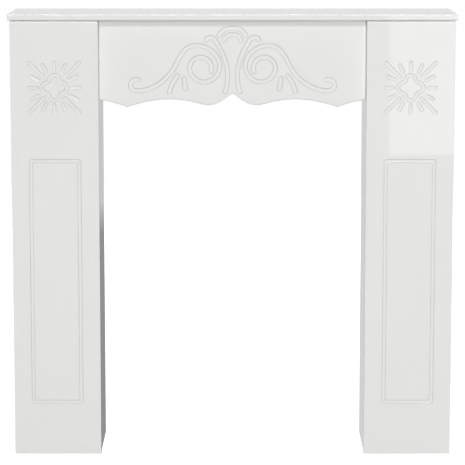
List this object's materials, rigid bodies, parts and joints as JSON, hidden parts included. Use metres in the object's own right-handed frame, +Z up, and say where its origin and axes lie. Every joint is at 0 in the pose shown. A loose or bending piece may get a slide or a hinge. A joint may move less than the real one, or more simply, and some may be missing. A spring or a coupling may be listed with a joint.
{
  "type": "fireplace mantelpiece",
  "caption": "Free-standing fireplace surround: a shelf on two hollow box columns with routed sunburst and panel grooves, and a scalloped apron carved with scrolls between them.",
  "frame": {"origin": "on the floor, at the middle of the shelf's width and depth, which is the bottom centre of the whole part's box", "axes": "+X to the viewer's right along the shelf, the carved front faces -Y and the wall side is +Y, +Z up"},
  "size_m": [1.1, 0.235, 1.1],
  "materials": {
    "gloss_board": "high-gloss white foil over routed fibreboard",
    "gloss_side_board": "high-gloss white foil over plain board"
  },
  "bodies": {
    "root": {"shelf": "gloss_board", "apron": "gloss_board", "left_column_front": "gloss_board", "right_column_front": "gloss_board", "left_inner_side": "gloss_side_board", "right_inner_side": "gloss_side_board", "left_outer_side": "gloss_side_board", "right_outer_side": "gloss_side_board"}
  },
  "joints": []
}
